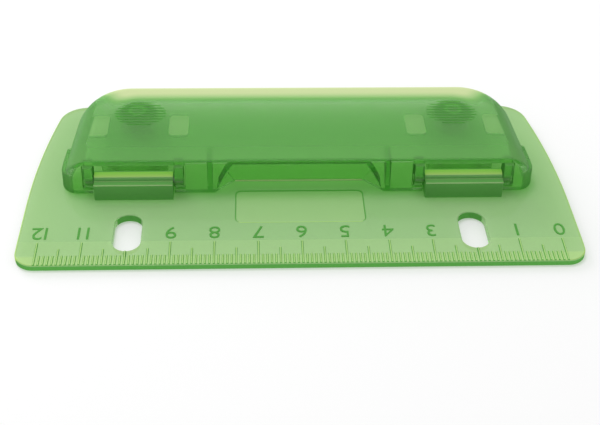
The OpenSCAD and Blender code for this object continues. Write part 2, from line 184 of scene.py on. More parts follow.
def box_plan(half_w, half_d, r, x=0.0, y=0.0):
    """Rectangles with round corners about (x, y), one for each level in half_w, half_d and r."""
    half_w, half_d, r = np.broadcast_arrays(*np.atleast_1d(half_w, half_d, r))
    signs = np.array([(1, -1), (1, 1), (-1, 1), (-1, -1)])
    corners = signs * np.stack([half_w, half_d], -1)[:, None, :] + (x, y)
    return rounded(corners, r[:, None])


def side_plan(half_w, front, rear, bend, turn, r_front, r_side, r_rear):
    """Plans shared by plate and lever, one for each level: straight at the front, with sides that
    turn inwards at bend on a wide radius and run into round rear corners."""
    rear_x = half_w - (rear - bend) * math.tan(turn)
    bend = np.full_like(half_w, bend)
    x = np.stack([half_w, half_w, rear_x, -rear_x, -half_w, -half_w], -1)
    y = np.stack([front, bend, rear, rear, bend, front], -1)
    radii = np.stack([r_front, r_side, r_rear, r_rear, r_side, r_front], -1)
    return rounded(np.stack([x, y], -1), radii)


def turned(name, radii, heights, x, y, steps=48):
    """A turned solid about the upright line through (x, y): circles of these radii at these heights."""
    angle = np.linspace(0, 2 * np.pi, steps, endpoint=False)
    circle = np.stack([np.cos(angle), np.sin(angle)], -1)
    return lofted(name, stacked(np.asarray(radii)[:, None, None] * circle + (x, y), heights))


def along(name, axis, outline, start, end):
    """A bar along X (axis 0) or Y (axis 1), from start to end, with one outline for its section."""
    rings = np.empty((2, len(outline), 3))
    rings[..., axis] = np.array([[start], [end]])
    rings[..., 1 - axis] = outline[:, 0]
    rings[..., 2] = outline[:, 1]
    return lofted(name, rings)


def combine(target, operation, *tools):
    """Joins the tools to the target, cuts them out of it or keeps what they share, and removes them."""
    for tool in tools:
        step = target.modifiers.new(operation, "BOOLEAN")
        step.operation = operation
        step.object = tool
        step.solver = "EXACT"
        seen = target.evaluated_get(bpy.context.evaluated_depsgraph_get())
        mesh = bpy.data.meshes.new_from_object(seen)
        target.modifiers.clear()
        target.data = mesh
        bpy.data.objects.remove(tool)
    return target


def plate_top(y):
    """Height of the plate's top, which falls evenly from the bevel line to the front edge."""
    return PLATE_T - BEVEL_DROP * np.clip((BEVEL_LINE - y) / (BEVEL_LINE - PLATE_FRONT), 0, 1)


quarter = np.linspace(0, np.pi / 2, EDGE_POINTS)
edge_in = PLATE_EDGE_R * np.concatenate([1 - np.sin(quarter), 1 - np.cos(quarter)])
edge_z = np.concatenate([
    PLATE_EDGE_R * (1 - np.cos(quarter)),
    PLATE_T - PLATE_EDGE_R * (1 - np.sin(quarter)),
])
plate_plan = side_plan(
    PLATE_HALF_W - edge_in, PLATE_FRONT + edge_in, PLATE_REAR - edge_in,
    PLATE_SIDE_BEND, PLATE_SIDE_TURN,
    PLATE_FRONT_R - edge_in, PLATE_SIDE_R - edge_in, PLATE_REAR_R - edge_in,
)
plate = lofted("ruler_plate", stacked(plate_plan, edge_z))
shape = bmesh.new()
shape.from_mesh(plate.data)
bmesh.ops.bisect_plane(
    shape, geom=shape.verts[:] + shape.edges[:] + shape.faces[:],
    plane_co=(0, BEVEL_LINE, 0), plane_no=(0, 1, 0),
)
shape.to_mesh(plate.data)
shape.free()
points = np.empty(len(plate.data.vertices) * 3, np.float32)
plate.data.vertices.foreach_get("co", points)
points = points.reshape(-1, 3)
points[:, 2] *= plate_top(points[:, 1]) / PLATE_T
plate.data.vertices.foreach_set("co", points.ravel())

label_grow = np.array([-LABEL_EDGE, 0, OVER])
label_plan = box_plan(
    LABEL_W / 2 + label_grow, LABEL_D / 2 + label_grow, LABEL_R + label_grow, 0, LABEL_Y)
label_z = PLATE_T + np.array([-LABEL_SINK, 0, OVER])
combine(plate, "DIFFERENCE", lofted("label", stacked(label_plan, label_z)))
flare = SLOT_EDGE_R * np.concatenate([[1], 1 - np.sin(quarter), 1 - np.sin(quarter[::-1]), [1]])
slot_z = np.concatenate([
    [-OVER], SLOT_EDGE_R * (1 - np.cos(quarter)),
    PLATE_T - SLOT_EDGE_R * (1 - np.cos(quarter[::-1])), [PLATE_T + OVER],
])
slot_r = SLOT_W / 2 + flare
seat_r = [CHIP_HOLE_R, CHIP_HOLE_R, DIE_R + SEAT_CLEAR, DIE_R + SEAT_CLEAR]
seat_z = [-OVER, DIE_FLOOR, DIE_FLOOR, PLATE_T + OVER]
barrel_top = HINGE_Z + BARREL_R
knuckle_section = rounded([[
    (LIP_FRONT, PLATE_T - ROOT), (HINGE_Y + BARREL_R, PLATE_T - ROOT),
    (HINGE_Y + BARREL_R, barrel_top), (HINGE_Y - BARREL_R, barrel_top),
    (HINGE_Y - BARREL_R, LIP_TOP), (LIP_FRONT, LIP_TOP),
]], [TIGHT_R, TIGHT_R, FULL_ROUND * BARREL_R, BARREL_FRONT_R, LIP_EDGE_R, LIP_EDGE_R])[0]
post_r = [POST_R, POST_R, POST_HEAD_FOOT_R, POST_HEAD_R, POST_CROWN_R]
post_z = [PLATE_T - ROOT, GUIDE_TOP, GUIDE_TOP, GUIDE_TOP + POST_HEAD_T / 3, GUIDE_TOP + POST_HEAD_T]
for side in SIDES:
    slot_plan = box_plan(
        slot_r, slot_r + (SLOT_LEN - SLOT_W) / 2, SLOT_ROUND * slot_r, side * PUNCH_X, SLOT_Y)
    combine(plate, "DIFFERENCE", lofted("slot", stacked(slot_plan, slot_z)))
    combine(plate, "DIFFERENCE", turned("die_seat", seat_r, seat_z, side * PUNCH_X, PUNCH_Y))
    start = side * HINGE_X - KNUCKLE_W / 2
    combine(plate, "UNION", along("knuckle", 0, knuckle_section, start, start + KNUCKLE_W))
    for post_side in SIDES:
        post_x = side * PUNCH_X + post_side * POST_SPACING / 2
        combine(plate, "UNION", turned("post", post_r, post_z, post_x, POST_Y, POST_STEPS))

# Ruler scale: ridges and numbers that the plate's mould raises on the bevel, in the same clear
# plastic. They read from the paper side, and the filing slots take the place of the 2 and the 10.
TICK_W = 0.62
TICK_TOP_W = 0.22
TICK_RISE = 0.22
TICK_ROOT = 0.1
CM = 10
HALF_CM = 5
CM_TICK = 7.3
HALF_CM_TICK = 5.2
MM_TICK = 3.0
TICK_FRONT_GAP = 0.1
TICK_STEP = 1.0
SCALE_MM = 120
NUMBERS = (0, 1, 3, 4, 5, 6, 7, 8, 9, 11, 12)
NUMBER_H = 4.1
NUMBER_Y = -21.4
NUMBER_RISE = 0.18
NUMBER_SIZE = 5.7
NUMBER_THIN = -0.04
NUMBER_SPACING = 0.67
NUMBER_MERGE = 0.06
NUMBER_CURVE_STEPS = 4
tick = np.arange(SCALE_MM + 1)
tick_len = np.select([tick % CM == 0, tick % HALF_CM == 0], [CM_TICK, HALF_CM_TICK], MM_TICK)
tick_x = (SCALE_MM / 2 - tick)[:, None]
tick_start = PLATE_FRONT + TICK_FRONT_GAP
tick_y = tick_start + np.array([0, 0, 1, 1]) * (tick_len - TICK_FRONT_GAP)[:, None]
across = np.array([-1, 1, 1, -1]) / 2
root = np.stack([tick_x + across * TICK_W, tick_y, plate_top(tick_y) - TICK_ROOT], -1)
crown = np.stack([tick_x + across * TICK_TOP_W, tick_y, plate_top(tick_y) + TICK_RISE], -1)
in_slot = np.abs(np.abs(tick - SCALE_MM / 2) - PUNCH_X) < TICK_STEP / 2
slot_near = SLOT_Y - SLOT_LEN / 2 - SLOT_EDGE_R
tick_end_y = np.where(in_slot[:, None], np.minimum(tick_y, slot_near), tick_y)
root[..., 1] = tick_end_y
crown[..., 1] = tick_end_y
tick_corners = np.concatenate([root, crown], 1)
block = np.array([(3, 2, 1, 0), (4, 5, 6, 7), (0, 1, 5, 4), (1, 2, 6, 5), (2, 3, 7, 6), (3, 0, 4, 7)])
tick_faces = block + tick_corners.shape[1] * tick[:, None, None]
tick_mesh = bpy.data.meshes.new("ticks")
tick_mesh.from_pydata(tick_corners.reshape(-1, 3), [], tick_faces.reshape(-1, 4).tolist())
combine(plate, "UNION", solid("ticks", tick_mesh))


def number(value):
    """A raised number in mm, turned to read from the paper side: flat figures, drawn up to a solid."""
    words = bpy.data.curves.new("number", "FONT")
    words.body = str(value)
    words.size = NUMBER_SIZE
    words.offset = NUMBER_THIN
    words.space_character = NUMBER_SPACING
    words.resolution_u = NUMBER_CURVE_STEPS
    shown = bpy.data.objects.new("number", words)
    bpy.context.collection.objects.link(shown)
    mesh = bpy.data.meshes.new_from_object(shown.evaluated_get(bpy.context.evaluated_depsgraph_get()))
    bpy.data.objects.remove(shown)
    shape = bmesh.new()
    shape.from_mesh(mesh)
    bmesh.ops.remove_doubles(shape, verts=shape.verts, dist=NUMBER_MERGE)
    within = [edge for edge in shape.edges if len(edge.link_faces) == 2]
    bmesh.ops.beautify_fill(shape, faces=shape.faces[:], edges=within)
    drawn = bmesh.ops.extrude_face_region(shape, geom=shape.faces[:])["geom"]
    top = [part for part in drawn if isinstance(part, bmesh.types.BMVert)]
    bmesh.ops.translate(shape, verts=top, vec=(0, 0, NUMBER_RISE + TICK_ROOT))
    shape.to_mesh(mesh)
    shape.free()
    figures = solid("number", mesh)
    ends = np.array(figures.bound_box)
    low, high = ends.min(0), ends.max(0)
    middle_z = PLATE_T + (NUMBER_RISE - TICK_ROOT) / 2
    place = Matrix.Translation((SCALE_MM / 2 - CM * value, NUMBER_Y, middle_z))
    grow = NUMBER_H / (high[1] - low[1])
    turn = Matrix.Rotation(math.pi, 4, "Z") @ Matrix.Diagonal((grow, grow, 1, 1))
    mesh.transform(place @ turn @ Matrix.Translation(-(low + high) / 2))
    return figures


combine(plate, "UNION", *[number(value) for value in NUMBERS])

# Finish of the plate and its scale: clear green plastic, a little cloudy. Light and shade are painted on by
# face: painted light on edges where light would pipe through, and painted shade on walls that the light
# leaves behind.
PLASTIC_IOR = 1.5
RIPPLE_SCALE = 240.0
RIPPLE_DETAIL = 2.0
RIPPLE_STRENGTH = 0.02
RIPPLE_HEIGHT = 0.001
TOP_TILT = (0.2, 0.6)
TONE_FOG = 1.2
FRONT_SHARE = 0.5
PAINTED_LIGHT_FRONT_SHARE = 0.4
SHARP_ANGLE = math.radians(32)


class Wire:
    """A shader output; arithmetic on it adds Math nodes to the same finish."""

    def __init__(self, finish, socket):
        self.finish = finish
        self.socket = socket

    def maths(self, operation, a, b):
        return self.finish.node("ShaderNodeMath", {"operation": operation}, {0: a, 1: b})

    def ramp(self, start, end):
        """A smooth rise from 0 at start to 1 at end."""
        smooth = {"interpolation_type": "SMOOTHSTEP"}
        return self.finish.node("ShaderNodeMapRange", smooth, {"Value": self, 1: start, 2: end})

    def __abs__(self):
        return self.maths("ABSOLUTE", self, 0.0)

    def __add__(self, other):
        return self.maths("ADD", self, other)

    def __mul__(self, other):
        return self.maths("MULTIPLY", self, other)

    def __sub__(self, other):
        return self.maths("SUBTRACT", self, other)

    def __rsub__(self, other):
        return self.maths("SUBTRACT", other, self)

    __radd__ = __add__
    __rmul__ = __mul__


class Finish:
    """A material in the making."""

    def __init__(self, name):
        self.material = bpy.data.materials.new(name)
        self.material.use_nodes = True
        self.tree = self.material.node_tree
        self.tree.nodes.clear()

    def node(self, kind, settings, sockets, out=0):
        """Adds a node, sets its settings, feeds its sockets and returns the named output."""
        made = self.tree.nodes.new(kind)
        for key, value in settings.items():
            setattr(made, key, value)
        for key, value in sockets.items():
            if isinstance(value, Wire):
                self.tree.links.new(value.socket, made.inputs[key])
            else:
                made.inputs[key].default_value = value
        return Wire(self, made.outputs[out]) if made.outputs else None


def toned(piece, tones):
    """Gives each face of a piece painted light or painted shade from its middle and normal: 1 is painted
    light, as on an edge that pipes light, -1 is painted shade, as on a wall that the light leaves behind,
    and 0 is the plain body."""
    faces = piece.data.polygons
    middle = np.empty(len(faces) * 3, np.float32)
    normal = np.empty(len(faces) * 3, np.float32)
    faces.foreach_get("center", middle)
    faces.foreach_get("normal", normal)
    painted_light_shade = tones(*middle.reshape(-1, 3).T, *normal.reshape(-1, 3).T)
    held = piece.data.attributes.new("painted_light_shade", "FLOAT", "FACE")
    held.data.foreach_set("value", painted_light_shade.astype(np.float32))


def first_fit(*cases):
    """For each face the tone of the first case, a pair of mask and tone, whose mask holds, or 0."""
    masks, tones = zip(*cases)
    return np.select(masks, tones, 0.0)


def clear_plastic(name, absorbs, polish, haze, milk, shade, painted_light_colour=None, painted_shade_colour=None, painted_light_at=None, frosted=None):
    """Clear plastic that takes absorbs = (red, green, blue) out of the light per mm of its thickness.

    A share haze of the light is scattered in the colour milk. The surface is as rough as polish, and lamps
    shine through the plastic, dimmed to shade. A piece with tones takes painted light and painted shade in
    the two colours given for them, and scatters more there. Its faces that look up take painted light by
    the function given for it, of a place (x, y) in mm, and are frosted = (roughness, haze), if these are
    given.
    """
    finish = Finish(name)
    place = finish.node("ShaderNodeTexCoord", {}, {}, "Object")
    ripple = finish.node("ShaderNodeTexNoise", {}, {
        "Vector": place,
        "Scale": RIPPLE_SCALE,
        "Detail": RIPPLE_DETAIL,
    }, "Fac")
    bump = finish.node("ShaderNodeBump", {}, {
        "Height": ripple,
        "Strength": RIPPLE_STRENGTH,
        "Distance": RIPPLE_HEIGHT,
    })
    roughness = polish
    fog = haze
    colour = (*milk, 1.0)
    front = FRONT_SHARE
    # Painted light and shade: a face's tones move its colour towards the colour for painted light or for
    # painted shade, make it scatter more, and let painted light take more of the light from the front.
    if painted_light_colour:
        facing = finish.node("ShaderNodeTexCoord", {}, {}, "Normal")
        top = finish.node("ShaderNodeSeparateXYZ", {}, {0: facing}, "Z").ramp(*TOP_TILT)
        x, y = [finish.node("ShaderNodeSeparateXYZ", {}, {0: place}, axis) * (1 / MM) for axis in "XY"]
        painted_light_shade = finish.node("ShaderNodeAttribute", {"attribute_name": "painted_light_shade"}, {}, "Fac")
        lit = painted_light_shade.maths("MAXIMUM", painted_light_shade, painted_light_at(x, y) * top if painted_light_at else 0.0)
        unlit = painted_light_shade.maths("MAXIMUM", 0.0 - painted_light_shade, 0.0)
        for share, other in ((lit, painted_light_colour), (unlit, painted_shade_colour)):
            mixed = {0: share, 6: colour, 7: (*other, 1.0)}
            colour = finish.node("ShaderNodeMix", {"data_type": "RGBA"}, mixed, 2)
        if frosted:
            roughness = top * (frosted[0] - polish) + polish
            fog = top * (frosted[1] - haze) + haze
        fog = (lit + unlit) * TONE_FOG + fog
        front = lit * PAINTED_LIGHT_FRONT_SHARE + FRONT_SHARE
    glass = finish.node("ShaderNodeBsdfPrincipled", {}, {
        "Base Color": (1.0, 1.0, 1.0, 1.0),
        "Roughness": roughness,
        "IOR": PLASTIC_IOR,
        "Transmission Weight": 1.0,
        "Normal": bump,
    })
    back_lit = finish.node("ShaderNodeBsdfTranslucent", {}, {"Color": colour})
    front_lit = finish.node("ShaderNodeBsdfDiffuse", {}, {"Color": colour})
    cloud = finish.node("ShaderNodeMixShader", {}, {0: front, 1: back_lit, 2: front_lit})
    body = finish.node("ShaderNodeMixShader", {}, {0: fog, 1: glass, 2: cloud})
    through = finish.node("ShaderNodeBsdfTransparent", {}, {"Color": (*shade, 1.0)})
    shadow = finish.node("ShaderNodeLightPath", {}, {}, "Is Shadow Ray")
    bounce = finish.node("ShaderNodeLightPath", {}, {}, "Is Diffuse Ray")
    surface = finish.node("ShaderNodeMixShader", {}, {0: shadow + bounce, 1: body, 2: through})
    tint = [1.0 - a / max(absorbs) for a in absorbs]
    volume = finish.node("ShaderNodeVolumeAbsorption", {}, {
        "Color": (*tint, 1.0),
        "Density": max(absorbs) / MM,
    })
    finish.node("ShaderNodeOutputMaterial", {}, {"Surface": surface, "Volume": volume})
    return finish.material


def hold(piece, material, body, slot, *nodes):
    """Brings a piece from mm to metres, gives it its finish and fixes it to its body."""
    piece.data.transform(Matrix.Scale(MM, 4))
    piece.data.materials.clear()
    piece.data.materials.append(material)
    piece.data.shade_smooth()
    piece.data.set_sharp_from_angle(angle=SHARP_ANGLE)
    weigh = piece.modifiers.new("normals", "WEIGHTED_NORMAL")
    weigh.keep_sharp = True
    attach(piece, body)
    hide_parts(*nodes)


LEVEL = 0.97  # a face is level, square, steep or facing by the share of its normal along an axis
SQUARE = 0.9
STEEP = 0.8
FACING = 0.5
LABEL_NEAR_FACING = 0.4
SLOT_END_FACING = 0.3
FRONT_EDGE_FACING = 0.1
BARREL_FACING = 0.05
LIP_EDGE_FACING = (0.2, 0.98)
TONE_MARGIN = 0.1
SKIN = 0.01
RIM_REACH = 12.0
LIP_D = 1.0
BARREL_LEAN = (-20, -5, 28, 36, 40, 60)
# Painted light (above 0) and painted shade (below 0) for the plate's faces; the label's floor is a little
# paler.
BARREL_LIGHT_AND_SHADE = (-0.7, 0.75, 0.75, 0.5, -0.6, -0.8)
LIP_EDGE_HIGHLIGHT = 0.25
KNUCKLE_PAINTED_SHADE = -0.8
SCALE_FLANK_SHADE = -0.9
FRONT_EDGE_PAINTED_SHADE = -0.3
FRONT_PAINTED_SHADE = -0.9
RIM_PAINTED_LIGHT = 0.7
LABEL_TONE = 0.16
LABEL_BORDER_LIGHT_AND_SHADE = 0.8
TICK_TOP_HIGHLIGHT = 0.5
BEVEL_PAINTED_LIGHT = 0.14


def plate_tones(x, y, z, along_x, along_y, along_z):
    """Painted light on the rims at the sides and the rear, the slots' near ends, the label's near border,
    the lip's edge, a stripe on the barrels, the tops of the scale's ridges and the bevel. Painted shade on
    the scale's flanks and numbers, the rest of the knuckles and of the label's border, and walls that face
    the front. The barrels' painted light and shade go by their lean in degrees, and the label's floor is a
    little paler."""
    relief = z - plate_top(y)
    lean = np.degrees(np.arctan2(-along_y, along_z))
    scale = (y < LABEL_Y - LABEL_D / 2) & (relief > 2 * SKIN) & (relief < TICK_RISE - SKIN)
    knuckle = (z > PLATE_T) & (y > LIP_FRONT - TONE_MARGIN) & (y < HINGE_Y + BARREL_R)
    behind_lip = y > LIP_FRONT + LIP_D
    barrel = knuckle & behind_lip & (z > LIP_TOP + TONE_MARGIN / 2) & (along_z > BARREL_FACING)
    lip_edge = knuckle & ~behind_lip & (along_z > LIP_EDGE_FACING[0]) & (along_z < LIP_EDGE_FACING[1])
    front = (np.abs(along_z) < STEEP) & (along_y < -FACING) & (z < PLATE_T)
    label = (np.abs(x) < LABEL_W / 2 + TONE_MARGIN) & (along_z > FACING)
    label &= np.abs(y - LABEL_Y) < LABEL_D / 2 + TONE_MARGIN
    sunk = label & (z < PLATE_T - SKIN)
    inside = (np.abs(x) < PLATE_HALF_W - RIM_REACH) & (y < PLATE_REAR - RIM_REACH)
    slot_end = (along_y > SLOT_END_FACING) & (y < SLOT_Y)
    rim = (np.abs(along_z) < LEVEL) & (z < PLATE_T) & ~label
    rim &= np.where(inside, slot_end, along_y > -FACING)
    bevel = (y < BEVEL_LINE) & (along_z > SQUARE)
    return first_fit(
        (scale, SCALE_FLANK_SHADE),
        (barrel, np.interp(lean, BARREL_LEAN, BARREL_LIGHT_AND_SHADE)),
        (lip_edge, LIP_EDGE_HIGHLIGHT),
        (knuckle, KNUCKLE_PAINTED_SHADE),
        (front & (along_z > FRONT_EDGE_FACING), FRONT_EDGE_PAINTED_SHADE),
        (front, FRONT_PAINTED_SHADE),
        (rim, RIM_PAINTED_LIGHT),
        (sunk & (along_z > LEVEL), LABEL_TONE),
        (sunk, LABEL_BORDER_LIGHT_AND_SHADE * np.sign(along_y - LABEL_NEAR_FACING)),
        (bevel & (relief > TICK_RISE / 2), TICK_TOP_HIGHLIGHT),
        (bevel, BEVEL_PAINTED_LIGHT),
    )


SIDE_PAINTED_LIGHT = 0.08
SIDE_PAINTED_LIGHT_X = (50.0, 66.0)
FRONT_PAINTED_LIGHT = 0.3
FRONT_PAINTED_LIGHT_Y = (28.4, 29.6)


def plate_pale(x, y):
    """Painted light: the plate is a little paler towards its sides, and more so along the front edge."""
    return abs(x).ramp(*SIDE_PAINTED_LIGHT_X) * SIDE_PAINTED_LIGHT + (0.0 - y).ramp(*FRONT_PAINTED_LIGHT_Y) * FRONT_PAINTED_LIGHT


toned(plate, plate_tones)
# The plate's faces take painted light in yellow-green and painted shade in deep green.
plate_green = clear_plastic(
    "plate_green", absorbs=(0.11, 0.03, 0.16), polish=0.08, haze=0.48,
    milk=(0.65, 0.88, 0.51), shade=(0.74, 0.78, 0.74),
    painted_light_colour=(0.50, 0.76, 0.12), painted_shade_colour=(0.12, 0.48, 0.08), painted_light_at=plate_pale,
)
hold(plate, plate_green, "base", "plate_green", "base_plate")

# Die rings: ground steel rings that the punches cut against. They are pressed into the plate,
# flush with its top.
HANDS = tuple(zip(SIDES, ("left", "right")))
DIE_BORE_R = 2.8
DIE_EDGE = 0.15
GRIND_SCALE = (400.0, 4000.0, 4000.0)
GRIND_DETAIL = 2.0
GRIND_STRENGTH = 0.1
GRIND_HEIGHT = 0.0001
GRIND_GLOSS = 0.2


def bored(name, profile, x, y, steps=48):
    """A turned solid with a bore: a closed profile of (radius, height) carried round (x, y)."""
    angle = np.linspace(0, 2 * np.pi, steps, endpoint=False)[:, None]
    r, z = np.asarray(profile, float).T[:, None]
    rings = np.stack([x + r * np.cos(angle), y + r * np.sin(angle), z + 0 * angle], -1)
    return lofted(name, rings, closed=True)


def steel_finish(name, colour, roughness):
    """Bare steel with fine grinding marks, in which a stretched noise varies the gloss."""
    finish = Finish(name)
    place = finish.node("ShaderNodeTexCoord", {}, {}, "Object")
    stretch = finish.node("ShaderNodeMapping", {}, {"Vector": place, "Scale": GRIND_SCALE})
    marks = finish.node("ShaderNodeTexNoise", {}, {
        "Vector": stretch,
        "Scale": 1.0,
        "Detail": GRIND_DETAIL,
    }, "Fac")
    bump = finish.node("ShaderNodeBump", {}, {
        "Height": marks,
        "Strength": GRIND_STRENGTH,
        "Distance": GRIND_HEIGHT,
    })
    body = finish.node("ShaderNodeBsdfPrincipled", {}, {
        "Base Color": (*colour, 1.0),
        "Metallic": 1.0,
        "Roughness": marks * GRIND_GLOSS + (roughness - GRIND_GLOSS / 2),
        "Normal": bump,
    })
    finish.node("ShaderNodeOutputMaterial", {}, {"Surface": body})
    return finish.material


steel = steel_finish("steel", colour=(0.36, 0.37, 0.36), roughness=0.3)
for side, name in HANDS:
    die = bored(name + "_die", [
        (DIE_BORE_R, DIE_FLOOR), (DIE_R - DIE_EDGE, DIE_FLOOR), (DIE_R, DIE_FLOOR + DIE_EDGE),
        (DIE_R, PLATE_T), (DIE_BORE_R, PLATE_T),
    ], side * PUNCH_X, PUNCH_Y)
    hold(die, steel, "base", "steel", name + "_die_ring")

# Punch guides: clear green mouldings staked to the plate by its posts. A foot stops the paper,
# and a bridge over it guides the punch and seats the return spring.
GUIDE_FRONT = guide_low[1]
GUIDE_REAR = guide_high[1]
GUIDE_HALF_W = (guide_high[0] - guide_low[0]) / 2
GUIDE_FOOT = 4.5
GUIDE_FOOT_R = 0.6
GUIDE_UNDER = PLATE_T + 1.2
GUIDE_R = 3.0
GUIDE_EDGE = 0.25
SEAT_Z = 4.0
SEAT_R = 4.7
GUIDE_BORE_R = 2.8
guide_green = clear_plastic(
    "guide_green", absorbs=(0.08, 0.03, 0.10), polish=0.1, haze=0.4,
    milk=(0.45, 0.78, 0.34), shade=(0.98, 0.98, 0.98),
)
grow = np.array([-GUIDE_EDGE, 0, 0, -GUIDE_EDGE])
foot_y = GUIDE_FRONT + GUIDE_FOOT / 2
bridge_y = (GUIDE_FRONT + GUIDE_REAR) / 2
bridge_d = (GUIDE_REAR - GUIDE_FRONT) / 2
bridge_z = [GUIDE_UNDER, GUIDE_UNDER + GUIDE_EDGE, GUIDE_TOP - GUIDE_EDGE, GUIDE_TOP]
foot_z = [PLATE_T, PLATE_T + GUIDE_EDGE, GUIDE_TOP - GUIDE_EDGE, GUIDE_TOP]
hollow_r = [GUIDE_BORE_R, GUIDE_BORE_R, SEAT_R, SEAT_R]
hollow_z = [0, SEAT_Z, SEAT_Z, GUIDE_TOP + OVER]
hole_r = [POST_R + SEAT_CLEAR] * 2
hole_z = [0, GUIDE_TOP + OVER]
for side, name in HANDS:
    x = side * PUNCH_X
    bridge_plan = box_plan(GUIDE_HALF_W + grow, bridge_d + grow, GUIDE_R + grow, x, bridge_y)
    guide = lofted(name + "_guide", stacked(bridge_plan, bridge_z))
    foot_plan = box_plan(GUIDE_HALF_W + grow, GUIDE_FOOT / 2 + grow, GUIDE_FOOT_R + grow, x, foot_y)
    combine(guide, "UNION", lofted("foot", stacked(foot_plan, foot_z)))
    combine(guide, "DIFFERENCE", turned("hollow", hollow_r, hollow_z, x, PUNCH_Y))
    for post_side in SIDES:
        post_x = x + post_side * POST_SPACING / 2
        combine(guide, "DIFFERENCE", turned("hole", hole_r, hole_z, post_x, POST_Y, POST_STEPS))
    hold(guide, guide_green, "base", "guide_green", name + "_punch_guide")

# Punches: ground steel cutting pins that slide in the guides. The tip has a notch across it, so
# that it cuts from its sides, and a stud at the top holds the cap.
PUNCH_R = 2.75
STUD_R = 1.5
CAP_LOW = 8.0
PUNCH_EDGE = 0.15
TIP_NOTCH = 0.8
TIP_Z = punch_low[2]
STUD_TOP = punch_high[2]
punch_r = [PUNCH_R, PUNCH_R, PUNCH_R - PUNCH_EDGE, STUD_R, STUD_R, STUD_R - PUNCH_EDGE]
punch_z = [TIP_Z, CAP_LOW - PUNCH_EDGE, CAP_LOW, CAP_LOW, STUD_TOP - PUNCH_EDGE, STUD_TOP]
notch_reach = PUNCH_R + OVER
notch_foot = TIP_Z - OVER * TIP_NOTCH / PUNCH_R
notch = np.array([
    (PUNCH_Y - notch_reach, notch_foot), (PUNCH_Y - notch_reach, TIP_Z - OVER),
    (PUNCH_Y + notch_reach, TIP_Z - OVER), (PUNCH_Y + notch_reach, notch_foot),
    (PUNCH_Y, TIP_Z + TIP_NOTCH),
])
for side, name in HANDS:
    x = side * PUNCH_X
    punch = turned(name + "_punch", punch_r, punch_z, x, PUNCH_Y)
    combine(punch, "DIFFERENCE", along("notch", 0, notch, x - notch_reach, x + notch_reach))
    hold(punch, steel, name + "_punch", "steel", name + "_punch_pin")

# Punch caps: green moulded heads pressed on the punches' studs, hollowed between hub and rim.
# The lever pushes on their domed tops and the springs on their rims.
CAP_R = 4.7
CAP_TOP = 9.3
CAP_DOME_DROP = 0.594
CAP_DOME_R = (CAP_R ** 2 + CAP_DOME_DROP ** 2) / (2 * CAP_DOME_DROP)
CAP_DOME_POINTS = 10
CAP_STEPS = 64
CAP_BORE_R = STUD_R + SEAT_CLEAR
CAP_HUB_R = 2.1
CAP_RIM_R = 3.2
CAP_HOLLOW = 0.6
CAP_EDGE = 0.12
# Painted light on the caps' hubs and painted shade on their rims and webs.
CAP_LIGHT_AND_SHADE = 0.9
cap_green = clear_plastic(
    "cap_green", absorbs=(0.25, 0.06, 0.30), polish=0.15, haze=0.4,
    milk=(0.26, 0.66, 0.20), shade=(0.95, 0.95, 0.95),
    painted_light_colour=(0.60, 0.92, 0.45), painted_shade_colour=(0.01, 0.16, 0.01),
)
dome_r = np.linspace(CAP_R - CAP_EDGE, CAP_BORE_R, CAP_DOME_POINTS)
dome_z = CAP_TOP - CAP_DOME_R + np.sqrt(CAP_DOME_R ** 2 - dome_r ** 2)
cap_profile = np.concatenate([[
    (CAP_BORE_R, CAP_LOW), (CAP_HUB_R, CAP_LOW), (CAP_HUB_R, CAP_LOW + CAP_HOLLOW),
    (CAP_RIM_R, CAP_LOW + CAP_HOLLOW), (CAP_RIM_R, CAP_LOW), (CAP_R - CAP_EDGE, CAP_LOW),
    (CAP_R, CAP_LOW + CAP_EDGE), (CAP_R, CAP_TOP - CAP_DOME_DROP - CAP_EDGE),
], np.stack([dome_r, dome_z], -1)])


def cap_tones(x, y, z, along_x, along_y, along_z):
    """Painted light on the hub, and painted shade on the rim and the web between them."""
    r = np.hypot(np.abs(x) - PUNCH_X, y - PUNCH_Y)
    return np.where(r > CAP_HUB_R + TONE_MARGIN, -CAP_LIGHT_AND_SHADE, CAP_LIGHT_AND_SHADE)


for side, name in HANDS:
    cap = bored(name + "_cap", cap_profile, side * PUNCH_X, PUNCH_Y, CAP_STEPS)
    toned(cap, cap_tones)
    hold(cap, cap_green, name + "_punch", "cap_green", name + "_punch_cap")

# Return springs: conical springs of drawn steel wire between a guide's seat and a cap's rim, drawn at rest.
# In use they flatten as the caps go down.
WIRE_R = 0.22
WIRE_POINTS = 12
SPRING_TURNS = 2.75
SPRING_POINTS = 133
SPRING_FOOT_R = 4.15
SPRING_HEAD_R = 3.5
SPRING_LOW = SEAT_Z + WIRE_R + SEAT_CLEAR
SPRING_HIGH = CAP_LOW - WIRE_R - SEAT_CLEAR
spring_wire = steel_finish("spring_wire", colour=(0.5, 0.51, 0.52), roughness=0.35)
run = np.linspace(0, 1, SPRING_POINTS)[:, None]
around = np.linspace(0, 2 * np.pi, WIRE_POINTS, endpoint=False)
coil_r = SPRING_FOOT_R + (SPRING_HEAD_R - SPRING_FOOT_R) * run + WIRE_R * np.cos(around)
coil_z = SPRING_LOW + (SPRING_HIGH - SPRING_LOW) * run + WIRE_R * np.sin(around)
coil_turn = 2 * np.pi * SPRING_TURNS * run
for side, name in HANDS:
    coil_x = side * PUNCH_X + coil_r * np.cos(coil_turn)
    coil_y = PUNCH_Y + coil_r * np.sin(coil_turn)
    spring = lofted(name + "_coil", np.stack([coil_x, coil_y, coil_z], -1))
    hold(spring, spring_wire, "base", "spring_wire", name + "_spring")
    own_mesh(spring)

